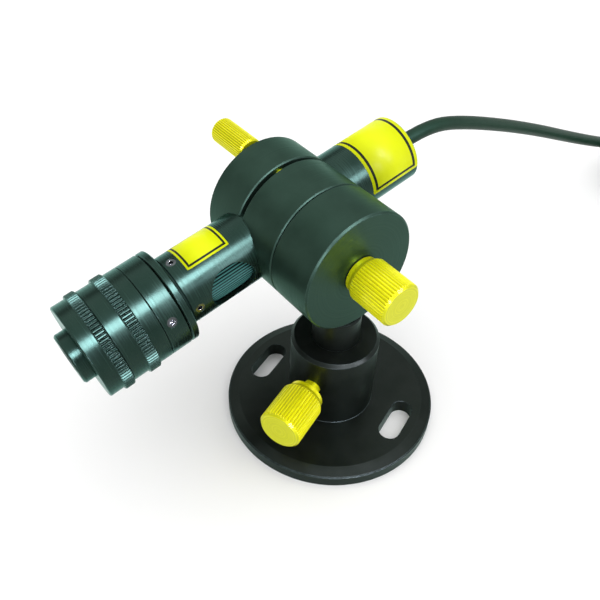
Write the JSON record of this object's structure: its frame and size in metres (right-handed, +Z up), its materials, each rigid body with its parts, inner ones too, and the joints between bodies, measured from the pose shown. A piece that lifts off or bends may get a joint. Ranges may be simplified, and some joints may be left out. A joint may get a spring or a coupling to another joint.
{
  "type": "line laser level",
  "caption": "Line laser on a desk stand: a round laser tube with a knurled head, gripped by a split drum that tilts and pans on a post in a slotted round base.",
  "frame": {"origin": "centre of the base disc's underside, on the post's axis", "axes": "+Z up along the post; X through the two slots; the base's thumb screw points along -Y"},
  "size_m": [0.1744, 0.2789, 0.077],
  "materials": {
    "black_anodised": "black anodised, satin",
    "brass": "turned, bright",
    "black_steel": "blackened",
    "bright_steel": "ground",
    "nylon": "matt",
    "circuit_board": "solder mask",
    "board_parts": "moulded",
    "optical_glass": "polished",
    "black_rubber": "moulded, matt",
    "cord_jacket": "extruded, matt",
    "tie_fabric": "woven"
  },
  "bodies": {
    "base": {"base_flange": "black_anodised"},
    "base_screw": {"base_screw_stud": "brass"},
    "base_knob": {"base_screw_knob": "brass"},
    "post": {"post": "black_anodised"},
    "pivot": {"pivot_drum": "black_anodised", "post_set_screw": "black_steel"},
    "tilt_screw": {"tilt_screw_stud": "brass"},
    "tilt_knob": {"tilt_screw_knob": "brass"},
    "clamp": {"clamp_body": "black_anodised", "friction_washer": "nylon", "clamp_dowels": "bright_steel"},
    "cap": {"clamp_cap": "black_anodised"},
    "clamp_screw": {"clamp_screw_stud": "brass"},
    "clamp_knob": {"clamp_screw_knob": "brass"},
    "carriage": {"cord_gland": "black_rubber", "cord_lead": "cord_jacket", "cord_coil": "cord_jacket", "cord_tie": "tie_fabric", "cord_plug": "black_rubber", "plug_barrel": "bright_steel"},
    "laser": {"laser_tube": "black_anodised", "rear_cap": "black_anodised", "front_bush": "black_anodised", "tube_grub_screws": "black_steel", "driver_board": "circuit_board", "driver_parts": "board_parts", "diode_holder": "brass", "laser_diode": "bright_steel", "head_lock_ring": "black_anodised", "head_barrel": "black_anodised", "head_grub_screws": "black_steel"},
    "focus": {"focus_sleeve": "black_anodised"},
    "lens": {"lens_cell": "black_anodised", "collimating_lens": "optical_glass"},
    "fan": {"fan_ring": "black_anodised"},
    "line_optic": {"line_lens_carrier": "black_anodised", "line_lens": "optical_glass"},
    "line_head": {"front_barrel": "black_anodised", "nose_ring": "black_anodised", "front_window": "optical_glass"}
  },
  "joints": [
    {"name": "base_knob_turn", "type": "hinge", "parent": "base_screw", "child": "base_knob", "pos_m": [0, -0.0163, 0.0189], "axis": [0, -1, 0], "range_deg": [0, 900]},
    {"name": "base_screw_feed", "type": "slide", "parent": "base", "child": "base_screw", "axis": [0, -1, 0], "range_m": [0, 0.002]},
    {"name": "post_height", "type": "slide", "parent": "base", "child": "post", "axis": [0, 0, 1], "range_m": [-0.0035, 0.006]},
    {"name": "pan", "type": "hinge", "parent": "post", "child": "pivot", "pos_m": [0, 0, 0.0583], "axis": [0, 0, 1], "range_deg": [-170, 170]},
    {"name": "tilt_knob_turn", "type": "hinge", "parent": "tilt_screw", "child": "tilt_knob", "pos_m": [0.0067, -0.00264, 0.0583], "axis": [0.9304, -0.3665, 0], "range_deg": [0, 900]},
    {"name": "tilt_screw_feed", "type": "slide", "parent": "pivot", "child": "tilt_screw", "axis": [0.9304, -0.3665, 0], "range_m": [0, 0.002]},
    {"name": "tilt", "type": "hinge", "parent": "pivot", "child": "clamp", "pos_m": [0, 0, 0.0583], "axis": [0.9304, -0.3665, 0], "range_deg": [-30, 25]},
    {"name": "clamp_knob_turn", "type": "hinge", "parent": "clamp_screw", "child": "clamp_knob", "pos_m": [-0.03579, 0.01077, 0.07318], "axis": [-0.9304, 0.3665, 0], "range_deg": [0, 720]},
    {"name": "clamp_screw_feed", "type": "slide", "parent": "clamp", "child": "clamp_screw", "axis": [-0.9304, 0.3665, 0], "range_m": [0, 0.001]},
    {"name": "cap_open", "type": "slide", "parent": "clamp", "child": "cap", "axis": [-0.9304, 0.3665, 0], "range_m": [0, 0.001]},
    {"name": "tube_slide", "type": "slide", "parent": "clamp", "child": "carriage", "axis": [-0.3588, -0.9109, -0.2036], "range_m": [-0.012, 0.012]},
    {"name": "tube_roll", "type": "hinge", "parent": "carriage", "child": "laser", "pos_m": [-0.02159, 0.0085, 0.0583], "axis": [-0.3588, -0.9109, -0.2036], "range_deg": [-180, 180]},
    {"name": "focus_turn", "type": "hinge", "parent": "laser", "child": "focus", "pos_m": [-0.02159, 0.0085, 0.0583], "axis": [-0.3588, -0.9109, -0.2036], "range_deg": [-360, 360]},
    {"name": "lens_feed", "type": "slide", "parent": "laser", "child": "lens", "axis": [-0.3588, -0.9109, -0.2036], "range_m": [-0.001, 0.001]},
    {"name": "fan_turn", "type": "hinge", "parent": "laser", "child": "fan", "pos_m": [-0.02159, 0.0085, 0.0583], "axis": [-0.3588, -0.9109, -0.2036], "range_deg": [-60, 60]},
    {"name": "line_lens_feed", "type": "slide", "parent": "laser", "child": "line_optic", "axis": [-0.3588, -0.9109, -0.2036], "range_m": [-0.0015, 0.0015]},
    {"name": "line_turn", "type": "hinge", "parent": "laser", "child": "line_head", "pos_m": [-0.02159, 0.0085, 0.0583], "axis": [-0.3588, -0.9109, -0.2036], "range_deg": [-180, 180]}
  ],
  "couplings": [
    {"joint": "base_knob_turn", "follows": "base_screw_feed", "rad_per_m": 7853.9},
    {"joint": "tilt_knob_turn", "follows": "tilt_screw_feed", "rad_per_m": 7853.9},
    {"joint": "clamp_knob_turn", "follows": "clamp_screw_feed", "rad_per_m": 12566},
    {"joint": "cap_open", "follows": "clamp_screw_feed", "ratio": 1},
    {"joint": "lens_feed", "follows": "focus_turn", "m_per_rad": 0.00015915},
    {"joint": "line_lens_feed", "follows": "fan_turn", "m_per_rad": 0.0014323}
  ]
}
